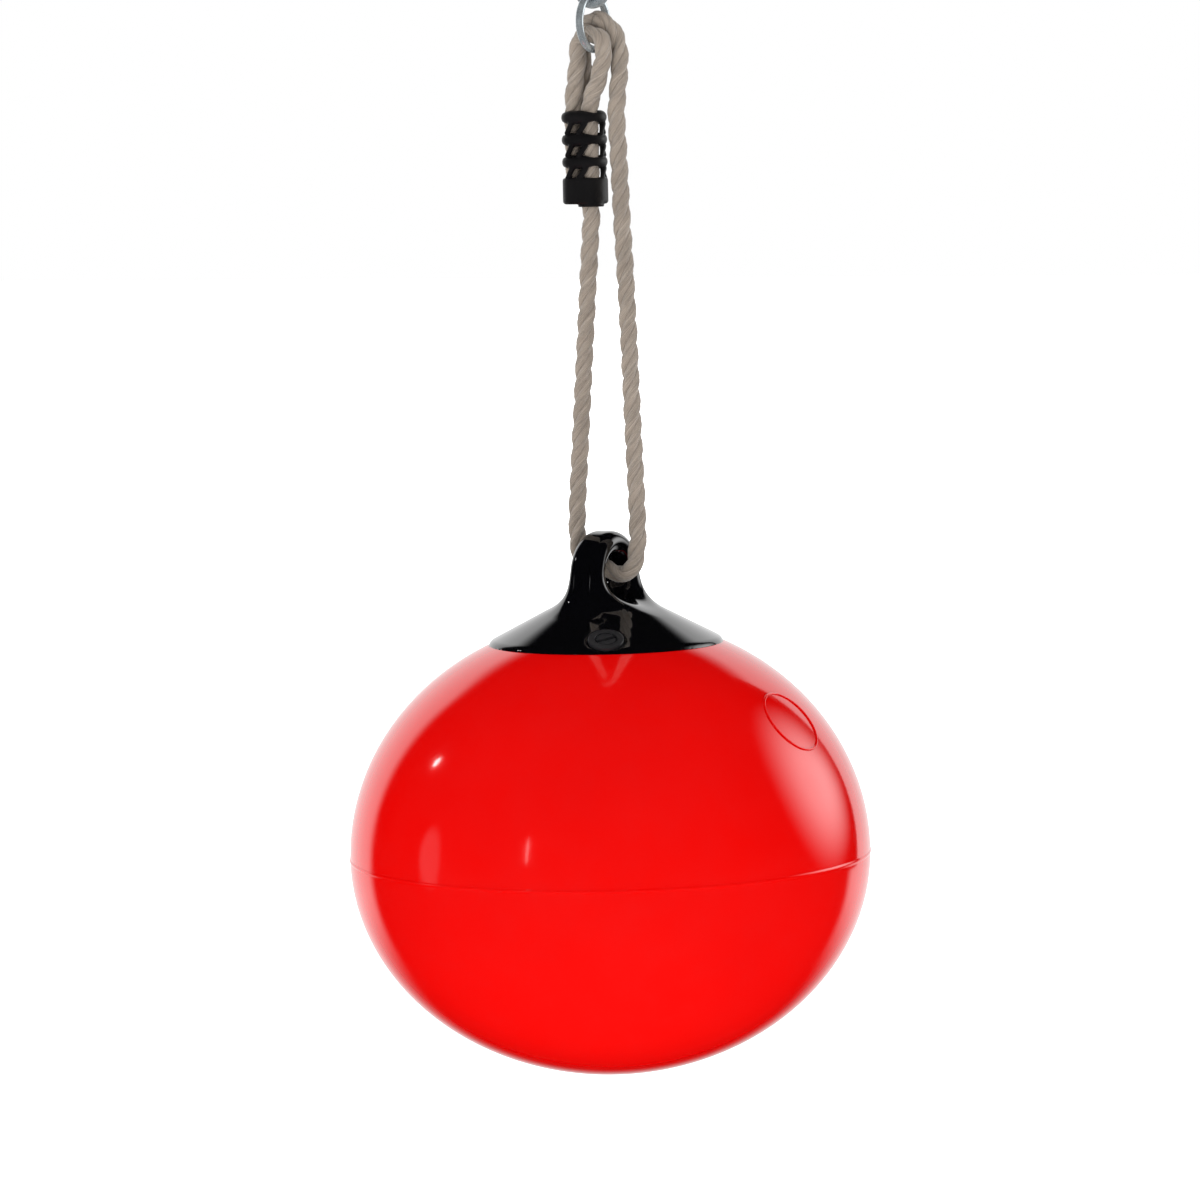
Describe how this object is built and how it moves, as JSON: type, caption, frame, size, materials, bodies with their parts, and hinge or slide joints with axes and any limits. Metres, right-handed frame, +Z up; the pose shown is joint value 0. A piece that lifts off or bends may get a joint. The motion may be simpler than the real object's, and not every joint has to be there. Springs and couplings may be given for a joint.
{
  "type": "hanging buoy ball",
  "caption": "Inflated buoy ball with a moulded rope eye, hung on an adjustable rope loop from a ring and a snap hook.",
  "frame": {"origin": "where a support bears inside the top of the snap hook", "axes": "+Z up, the ball hangs at -Z; +X along the eye's hole, in the plane of the rope loop; +Y in the plane of the eye and of the ring"},
  "size_m": [0.29, 0.29, 0.6387],
  "materials": {
    "ball_pvc": "glossy blown vinyl",
    "cap_pvc": "glossy moulded vinyl",
    "valve_plastic": "moulded nylon",
    "seal_rubber": "smooth rubber",
    "adjuster_plastic": "semi-gloss moulded plastic",
    "rope": "three-strand hemp-look rope",
    "zinc_wire": "bright zinc-plated wire",
    "spring_steel": "spring steel"
  },
  "bodies": {
    "hook": {"hook_body": "zinc_wire"},
    "gate": {"hook_gate": "zinc_wire", "gate_pivot_pin": "zinc_wire", "gate_latch_pin": "zinc_wire", "gate_spring": "spring_steel"},
    "ring": {"ring": "zinc_wire"},
    "rope_top": {"rope_first_turn": "rope", "rope_second_turn": "rope", "rope_left_leg": "rope", "rope_right_leg": "rope"},
    "adjuster": {"adjuster": "adjuster_plastic"},
    "rope_bottom": {"rope_bight": "rope"},
    "ball": {"ball_shell": "ball_pvc", "rope_eye_cap": "cap_pvc", "valve_insert": "valve_plastic"},
    "seal": {"valve_seal": "seal_rubber"},
    "screw": {"valve_screw": "valve_plastic"}
  },
  "joints": [
    {"name": "gate_open", "type": "hinge", "parent": "hook", "child": "gate", "pos_m": [0.009, 0, -0.029], "axis": [0, -1, 0], "range_deg": [0, 25], "stiffness_Nm_per_rad": 0.1, "springref_deg": -20.05},
    {"name": "ring_swing", "type": "hinge", "parent": "hook", "child": "ring", "pos_m": [0, 0, -0.0425], "axis": [1, 0, 0], "range_deg": [-60, 60]},
    {"name": "rope_swing", "type": "hinge", "parent": "ring", "child": "rope_top", "pos_m": [0, 0, -0.0671], "axis": [0, 1, 0], "range_deg": [-45, 45]},
    {"name": "ball_height", "type": "slide", "parent": "rope_top", "child": "rope_bottom", "axis": [0, 0, 1], "range_m": [-0.01, 0.05], "deforming": ["rope_left_leg", "rope_right_leg"]},
    {"name": "adjuster_slide", "type": "slide", "parent": "rope_top", "child": "adjuster", "axis": [0, 0, 1], "range_m": [-0.05, 0.01], "deforming": ["rope_first_turn", "rope_second_turn"]},
    {"name": "ball_tilt", "type": "hinge", "parent": "rope_bottom", "child": "ball", "pos_m": [0, 0, -0.3522], "axis": [1, 0, 0], "range_deg": [-45, 45]},
    {"name": "valve_lift", "type": "slide", "parent": "ball", "child": "seal", "axis": [0.2239, -0.3878, 0.8942], "range_m": [0, 0.0045]},
    {"name": "valve_turn", "type": "hinge", "parent": "seal", "child": "screw", "pos_m": [0.0275, -0.04763, -0.3869], "axis": [0.2239, -0.3878, 0.8942], "range_deg": [0, 1080]}
  ],
  "couplings": [
    {"joint": "adjuster_slide", "follows": "ball_height", "ratio": -1},
    {"joint": "valve_turn", "follows": "valve_lift", "rad_per_m": 4188.8}
  ]
}
